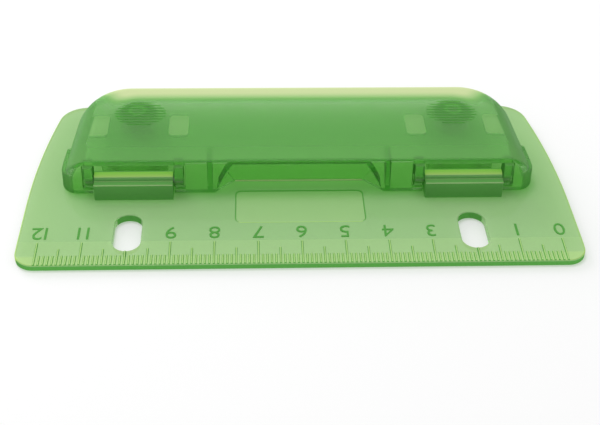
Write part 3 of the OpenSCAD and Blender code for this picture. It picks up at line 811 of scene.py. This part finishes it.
# Hinge pins: plain steel pins, a little rounded at both ends. They are pressed through the
# knuckles, and the lever's ears turn on them.
PIN_R = (pin_high[2] - pin_low[2]) / 2
PIN_HALF = (pin_high[0] - pin_low[0]) / 2
PIN_EDGE = 0.2
PIN_STEPS = 32
pin_r = [PIN_R - PIN_EDGE, PIN_R, PIN_R, PIN_R - PIN_EDGE]
pin_z = [-PIN_HALF, PIN_EDGE - PIN_HALF, PIN_HALF - PIN_EDGE, PIN_HALF]


def on_hinge(piece, side):
    """Lays a piece that was turned about the origin along one of the hinges."""
    place = Matrix.Translation((side * HINGE_X, HINGE_Y, HINGE_Z))
    piece.data.transform(place @ Matrix.Rotation(math.pi / 2, 4, "Y"))
    return piece


for side, name in HANDS:
    pin = on_hinge(turned(name + "_pin", pin_r, pin_z, 0, 0, PIN_STEPS), side)
    hold(pin, steel, "base", "steel", name + "_hinge_pin")

# Press lever: a thin shell moulded in the same green plastic, lightly frosted on top. Its ears
# hang on the hinge pins behind two windows, and it has a finger recess at the front, two
# gussets beside it, and a ribbed thumb oval with two thin spots over each punch.
lever_low, lever_high = node_box("lever_shell")
LEVER_HALF_W = lever_high[0]
LEVER_FRONT = HINGE_Y - 1.5
LEVER_REAR = lever_high[1]
LEVER_TOP = 11.0
LEVER_WALL = 1.4
LEVER_UNDER = LEVER_TOP - LEVER_WALL
FRONT_LEAN = 1.2
END_LEAN = 1.2
CREST_R = 0.25
END_ROUND = 6.0
END_POINTS = 16
REAR_ROUND = 3.4
LEVER_REAR_R = 13.6
LEVER_FRONT_R = 4.0
LEVER_LEAST_R = 0.5
LEVER_SIDE_R = 40.0
LEVER_SIDE_BEND = 0.0
LEVER_SIDE_TURN = math.radians(3.5)
SKIRT_TOP = 6.8
SKIRT_EDGE_R = 0.5
SKIRT_STEP = 0.05


def lever_form(name, inset):
    """The lever's outside, or its inside when drawn in by inset.

    Plans are stacked up from below the rim: upright to the top of the skirt, then a small step
    in. Above it the ends and the rear shrink as circles do at the shoulders, and lean inwards.
    """
    skirt_z = SKIRT_TOP - inset + SKIRT_EDGE_R * (np.sin(quarter) - 1)
    step_z = SKIRT_TOP + SKIRT_STEP
    step_turn = math.asin((step_z - LEVER_TOP + END_ROUND) / END_ROUND)
    rise = np.sin(np.linspace(step_turn, np.pi / 2, END_POINTS))
    shell_z = LEVER_TOP - END_ROUND + (END_ROUND - inset) * rise
    z = np.concatenate([[-OVER], skirt_z, shell_z])
    skirt = np.arange(len(z)) < len(skirt_z) + 1
    lean = (z - PLATE_T) / (LEVER_TOP - PLATE_T)

    def shoulder(radius):
        past = np.maximum(z - LEVER_TOP + radius, 0)
        return radius - np.sqrt(np.maximum((radius - inset) ** 2 - past ** 2, 0))

    over_crest = np.clip(z - LEVER_TOP + inset + CREST_R, 0, CREST_R)
    crest = CREST_R - np.sqrt(CREST_R ** 2 - over_crest ** 2)
    skirt_in = SKIRT_EDGE_R * np.concatenate([[0], 1 - np.cos(quarter), 0 * shell_z])
    half_w = LEVER_HALF_W - np.where(skirt, inset + skirt_in, shoulder(END_ROUND) + END_LEAN * lean)
    front_y = LEVER_FRONT + inset + FRONT_LEAN * lean + crest
    rear_y = LEVER_REAR - shoulder(REAR_ROUND)
    drawn = LEVER_HALF_W - half_w
    plans = side_plan(
        half_w, front_y, rear_y, LEVER_SIDE_BEND, LEVER_SIDE_TURN,
        np.maximum(LEVER_FRONT_R - drawn, LEVER_LEAST_R), LEVER_SIDE_R - drawn, LEVER_REAR_R - drawn,
    )
    return lofted(name, stacked(plans, z))


lever = lever_form("press_lever", 0.0)
combine(lever, "DIFFERENCE", lever_form("inside", LEVER_WALL))
SHARP_R = 0.01
EAR_GAP = 0.3
EAR_INNER = KNUCKLE_W / 2 + EAR_GAP
EAR_T = 2.2
EAR_R = 1.75
WINDOW_HALF = 12.2
WINDOW_Z = 3.3
WINDOW_R = 0.3
WINDOW_TOP_R = 0.2
WINDOW_STEPS = 4
window = np.array([
    (-EAR_INNER, -OVER), (EAR_INNER, -OVER), (EAR_INNER, WINDOW_Z), (WINDOW_HALF, WINDOW_Z),
    (WINDOW_HALF, LEVER_UNDER), (-WINDOW_HALF, LEVER_UNDER),
    (-WINDOW_HALF, WINDOW_Z), (-EAR_INNER, WINDOW_Z),
])
window_r = [SHARP_R] * 2 + [WINDOW_R] * 2 + [WINDOW_TOP_R] * 2 + [WINDOW_R] * 2
for side in SIDES:
    window_section = rounded([window + (side * HINGE_X, 0)], window_r, WINDOW_STEPS)[0]
    combine(lever, "DIFFERENCE", along("window", 1, window_section, LEVER_FRONT - OVER, HINGE_Y + EAR_R))

RECESS_TOP_W = 15.9
RECESS_FOOT_W = 20.4
RECESS_BACK_W = 15.4
RECESS_DEPTH = 4.2
RECESS_HEAD_DEPTH = 0.4
RECESS_WALL = 1.2
LINING_LIFT = 0.001  # keeps the faces of the lining and the shell from lying in one plane


def recess_form(name, grow):
    """The finger recess, grown for its lining: a front outline that narrows upwards, a plan that
    narrows towards the back, and a back panel that slopes from the top edge to the foot."""
    height = LEVER_UNDER - PLATE_T
    head = LEVER_FRONT + FRONT_LEAN * height / (LEVER_TOP - PLATE_T) + RECESS_HEAD_DEPTH
    back = LEVER_FRONT + RECESS_DEPTH
    slope = (back - head) / height
    rise = (RECESS_FOOT_W - RECESS_TOP_W) / height
    flare = (RECESS_FOOT_W - RECESS_BACK_W) / RECESS_DEPTH
    low, high = RECESS_FOOT_W + rise * OVER + grow, RECESS_TOP_W + grow
    near, far = RECESS_FOOT_W + flare * OVER + grow, RECESS_BACK_W - flare * 2 * OVER + grow
    ahead = LEVER_FRONT - OVER
    under = PLATE_T - OVER
    behind = back + 2 * OVER
    outline = np.array([(-low, under), (low, under), (high, LEVER_UNDER), (-high, LEVER_UNDER)])
    plan = np.array([(-near, ahead), (near, ahead), (far, behind), (-far, behind)])
    section = np.array([
        (ahead, under), (back + slope * OVER + grow, under),
        (head + grow, LEVER_UNDER), (ahead, LEVER_UNDER),
    ])
    made = along(name, 1, outline, ahead, PLATE_REAR)
    combine(made, "INTERSECT", lofted("plan", stacked(np.stack([plan, plan]), [0, LEVER_TOP])))
    return combine(made, "INTERSECT", along("section", 0, section, -LEVER_HALF_W, LEVER_HALF_W))


lining = combine(recess_form("lining", RECESS_WALL), "INTERSECT", lever_form("outside", 0.0))
lining.data.transform(Matrix.Translation((0, 0, LINING_LIFT)))
combine(lever, "UNION", lining)
ear_section = rounded([[
    (HINGE_Y - EAR_R, HINGE_Z - EAR_R), (HINGE_Y + EAR_R, HINGE_Z - EAR_R),
    (HINGE_Y + EAR_R, LEVER_UNDER + ROOT), (HINGE_Y - EAR_R, LEVER_UNDER + ROOT),
]], [FULL_ROUND * EAR_R, FULL_ROUND * EAR_R, TIGHT_R, TIGHT_R])[0]
GUSSET_X = 21.4
GUSSET_T = 1.2
GUSSET_REACH = 7.0
wall_in = LEVER_FRONT + LEVER_WALL - ROOT
gusset_section = np.array([
    (wall_in, PLATE_T), (wall_in + FRONT_LEAN, PLATE_T),
    (wall_in + GUSSET_REACH, LEVER_UNDER + ROOT), (wall_in + FRONT_LEAN, LEVER_UNDER + ROOT),
])
for side in SIDES:
    for ear_x in (side * HINGE_X + EAR_INNER, side * HINGE_X - EAR_INNER - EAR_T):
        combine(lever, "UNION", along("ear", 0, ear_section, ear_x, ear_x + EAR_T))
    gusset_x = side * GUSSET_X - GUSSET_T / 2
    combine(lever, "UNION", along("gusset", 0, gusset_section, gusset_x, gusset_x + GUSSET_T))
combine(lever, "DIFFERENCE", recess_form("recess", 0.0))

SKIRT_Y = 5.6
SKIRT_HEAD_R = 0.6
SKIRT_FOOT_R = 0.4
RIM_Z = 6.875
FRONT_GAP = 0.3
PRESS_SLOPE = math.tan(math.radians(6.0))
lever_foot = PLATE_T + FRONT_GAP
under_front = LEVER_FRONT - OVER
under_rear = LEVER_REAR + OVER
under_section = rounded([[
    (under_front, -2 * OVER), (under_rear, -2 * OVER), (under_rear, RIM_Z), (SKIRT_Y, RIM_Z),
    (SKIRT_Y, lever_foot + (SKIRT_Y - LEVER_FRONT) * PRESS_SLOPE),
    (under_front, lever_foot - OVER * PRESS_SLOPE),
]], [SHARP_R, SHARP_R, SHARP_R, SKIRT_HEAD_R, SKIRT_FOOT_R, SHARP_R])[0]
combine(lever, "DIFFERENCE", along("under", 0, under_section, -LEVER_HALF_W - OVER, LEVER_HALF_W + OVER))
BEAD_R = 0.3
BEAD_Y = LEVER_FRONT + RECESS_DEPTH - 0.2
BEAD_Z = lever_foot + RECESS_DEPTH * PRESS_SLOPE + BEAD_R
bead_section = box_plan(BEAD_R, BEAD_R, FULL_ROUND * BEAD_R, BEAD_Y, BEAD_Z)[0]
combine(lever, "UNION", along("bead", 0, bead_section, -RECESS_BACK_W, RECESS_BACK_W))

RUN_CLEAR = 0.05
PAD_X = 39.0
OVAL_Y = HINGE_Y + 20.0
OVAL_A = 6.4
OVAL_B = 5.4
RIDGE_PITCH = 1.2
RIDGE_HALF = 0.25
RIDGE_RISE = 0.2
RIDGE_SHOULDER = 0.4 * RIDGE_RISE
RIDGE_TOP = 0.6
SPOT_X = 9.8
SPOT_Y = HINGE_Y + 14.6
SPOT_W = 4.8
SPOT_D = 8.6
SPOT_R = 1.1
SPOT_SINK = 0.6
SPOT_MARK = 0.02
rows = int(OVAL_B / RIDGE_PITCH)
ridge_half = RIDGE_HALF * np.array([1, 1, RIDGE_TOP])
ridge_z = LEVER_TOP + np.array([-ROOT, RIDGE_SHOULDER, RIDGE_RISE])
spot_z = [LEVER_UNDER - 2 * SPOT_SINK, LEVER_UNDER + SPOT_SINK]
mark_z = [LEVER_UNDER, LEVER_TOP + OVER]
for side in SIDES:
    bore = turned("bore", [PIN_R + RUN_CLEAR] * 2, [-WINDOW_HALF, WINDOW_HALF], 0, 0)
    combine(lever, "DIFFERENCE", on_hinge(bore, side))
    for spot_side in SIDES:
        spot_x = side * PAD_X + spot_side * SPOT_X
        spot_plan = box_plan([SPOT_W / 2] * 2, SPOT_D / 2, SPOT_R, spot_x, SPOT_Y)
        spot = lofted("spot", stacked(spot_plan, spot_z))
        mark = lofted("mark", stacked(spot_plan, mark_z))
        combine(mark, "DIFFERENCE", lever_form("core", SPOT_MARK))
        combine(lever, "DIFFERENCE", spot, mark)
    for row in range(-rows, rows + 1):
        half = OVAL_A * math.sqrt(1 - (row * RIDGE_PITCH / OVAL_B) ** 2)
        ridge_y = OVAL_Y + row * RIDGE_PITCH
        ridge_plan = box_plan(
            half - RIDGE_HALF + ridge_half, ridge_half, FULL_ROUND * ridge_half, side * PAD_X, ridge_y)
        combine(lever, "UNION", lofted("ridge", stacked(ridge_plan, ridge_z)))

# Painted light (above 0) and painted shade (below 0) for the lever's faces.
REAR_WALL_PAINTED_LIGHT = 0.8
REAR_FADE_BACK = (0, 0.12)
REAR_FADE_SIDE = (0.27, 0.72)
REAR_FADE_UP = (0.2, 0.7)
INNER_SIDE_SHADE = -0.7
INNER_MARGIN = 0.5
BEAD_HIGHLIGHT = 1.0
EAR_PAINTED_SHADE = -0.25
END_FACING = 0.2
END_PAINTED_SHADE = -0.3
SKIRT_PAINTED_SHADE = -0.45
SPOT_PAINTED_LIGHT = 0.2
MARK_DROP = 1.0
MARK_MARGIN = 0.15


def lever_tones(x, y, z, along_x, along_y, along_z):
    """Painted light on the rear wall and the bead at the recess's foot, and a little on the thin spots.
    Painted shade on the ends, the ears and the sides of windows and gussets."""
    inner = (np.abs(along_x) > SQUARE) & (y < 0) & (z > WINDOW_Z) & (z < LEVER_UNDER + TONE_MARGIN)
    inner &= (np.abs(x) > GUSSET_X - GUSSET_T) & (np.abs(x) < HINGE_X + WINDOW_HALF + INNER_MARGIN)
    bead = (np.abs(x) < RECESS_BACK_W) & (y < BEAD_Y + BEAD_R) & (z < BEAD_Z + BEAD_R) & (along_z > -SQUARE)
    ear = (along_y < -FACING) & (y < LEVER_FRONT - TONE_MARGIN)
    rear = (y > LEVER_REAR - REAR_ROUND - LEVER_WALL) & (z > RIM_Z)
    band = np.interp(along_y, REAR_FADE_BACK, (0, 1))
    band *= np.interp(np.abs(along_x), REAR_FADE_SIDE, (1, 0))
    band *= np.interp(along_z, REAR_FADE_UP, (0, 1))
    end = (np.abs(x) > LEVER_HALF_W - END_ROUND) & (along_x * np.sign(x) > END_FACING)
    mark = (z > LEVER_TOP - MARK_DROP) & (along_z > FACING) & (np.abs(y - SPOT_Y) < SPOT_D / 2)
    mark &= np.abs(np.abs(np.abs(x) - PAD_X) - SPOT_X) < SPOT_W / 2 - MARK_MARGIN
    return first_fit(
        (inner, INNER_SIDE_SHADE),
        (bead, BEAD_HIGHLIGHT),
        (ear, EAR_PAINTED_SHADE),
        (rear, REAR_WALL_PAINTED_LIGHT * band),
        (end & (z > SKIRT_TOP), END_PAINTED_SHADE),
        (end, SKIRT_PAINTED_SHADE),
        (mark, SPOT_PAINTED_LIGHT),
    )


CORNER_X = 39.6
CORNER_Y = LEVER_REAR - LEVER_REAR_R
REAR_BAND_PAINTED_LIGHT = 0.98
REAR_BAND_PAINTED_LIGHT_R = (4.4, 9.2)
REAR_BAND_PAINTED_LIGHT_TURN = (-5.0, 5.0)
LEVER_FRONT_PAINTED_LIGHT = 0.06
LEVER_FRONT_PAINTED_LIGHT_Y = (-6.0, 4.0)


def lever_pale(x, y):
    """Painted light: a bright band along the rear edge follows the corners, by the distance from their
    middles, and fades there. The top is a little paler towards the front."""
    beyond = x.maths("MAXIMUM", abs(x) - CORNER_X, 0.0)
    behind = y.maths("MAXIMUM", y - CORNER_Y, 0.0)
    r = x.maths("POWER", beyond * beyond + behind * behind, 0.5)
    rear = r.ramp(*REAR_BAND_PAINTED_LIGHT_R) * (behind - beyond).ramp(*REAR_BAND_PAINTED_LIGHT_TURN) * REAR_BAND_PAINTED_LIGHT
    return rear + (0.0 - y).ramp(*LEVER_FRONT_PAINTED_LIGHT_Y) * LEVER_FRONT_PAINTED_LIGHT


toned(lever, lever_tones)
# The lever's faces take painted light in light yellow-green and painted shade in deep green.
lever_green = clear_plastic(
    "lever_green", absorbs=(0.21, 0.06, 0.28), polish=0.06, haze=0.12,
    milk=(0.29, 0.72, 0.21), shade=(0.65, 0.83, 0.59),
    painted_light_colour=(0.66, 0.75, 0.40), painted_shade_colour=(0.04, 0.14, 0.03), painted_light_at=lever_pale, frosted=(0.24, 0.40),
)
hold(lever, lever_green, "lever", "lever_green", "lever_shell")

# Table: a plain white sheet of matt card that the punch lies on. It only takes the light and the
# shadows, and isn't part of the object.
TABLE_HALF = 3000.0
TABLE_TOP = -0.05
TABLE_FOOT = -2.0
table_outline = np.array([[(1, -1), (1, 1), (-1, 1), (-1, -1)]]) * TABLE_HALF
table = lofted("table", stacked(np.repeat(table_outline, 2, 0), [TABLE_FOOT, TABLE_TOP]))
table.data.transform(Matrix.Scale(MM, 4))
paper = Finish("table")
sheet = paper.node("ShaderNodeBsdfPrincipled", {}, {
    "Base Color": (0.96, 0.96, 0.96, 1.0),
    "Roughness": 0.8,
    "Specular IOR Level": 0.1,
})
paper.node("ShaderNodeOutputMaterial", {}, {"Surface": sheet})
table.data.materials.append(paper.material)

# Studio light: a white room and two large softboxes behind, one high and one low, a little to
# the left, so that soft shadows fall to the front and the right.
ROOM_LIGHT = 0.54
world = bpy.data.worlds.new("room")
world.use_nodes = True
room = world.node_tree.nodes["Background"]
room.inputs["Color"].default_value = (1.0, 1.0, 1.0, 1.0)
room.inputs["Strength"].default_value = ROOM_LIGHT
bpy.context.scene.world = world


def softbox(name, place, size, power):
    """A square lamp at place, in metres, that faces the punch and doesn't show in its gloss."""
    lamp = bpy.data.lights.new(name, "AREA")
    lamp.shape = "SQUARE"
    lamp.size = size
    lamp.energy = power
    box = bpy.data.objects.new(name, lamp)
    aim = Vector(place).to_track_quat("Z", "Y").to_matrix().to_4x4()
    box.matrix_world = Matrix.Translation(place) @ aim
    box.visible_glossy = False
    box.visible_transmission = False
    bpy.context.collection.objects.link(box)


softbox("key_light", place=(-0.30, 0.40, 1.40), size=0.5, power=8.5)
softbox("rim_light", place=(-0.75, 1.15, 0.62), size=0.7, power=10.0)

# Camera: at the photograph's viewing angle, for an image of 600 by 425 pixels. Its place is in mm
# and its angles are in radians, fitted to the scale, the slots and the label panel.
IMAGE_W = 600
SENSOR_W = 36.0
CAMERA_AT = (-11.07, -225.642, 167.430)
CAMERA_PITCH = 0.663225
CAMERA_YAW = -0.0517924
CAMERA_ROLL = 0.0230059
FOCAL_PX = 1140.43
NEAREST = 0.01
lens = bpy.data.cameras.new("camera")
lens.sensor_width = SENSOR_W
lens.lens = FOCAL_PX * SENSOR_W / IMAGE_W
lens.clip_start = NEAREST
camera = bpy.data.objects.new("camera", lens)
heading = Matrix.Rotation(CAMERA_YAW, 4, "Z")
tilt = Matrix.Rotation(math.pi / 2 - CAMERA_PITCH, 4, "X")
roll = Matrix.Rotation(CAMERA_ROLL, 4, "Z")
camera.matrix_world = Matrix.Translation([c * MM for c in CAMERA_AT]) @ heading @ tilt @ roll
bpy.context.collection.objects.link(camera)
bpy.context.scene.camera = camera
bpy.context.scene.view_settings.view_transform = "Standard"
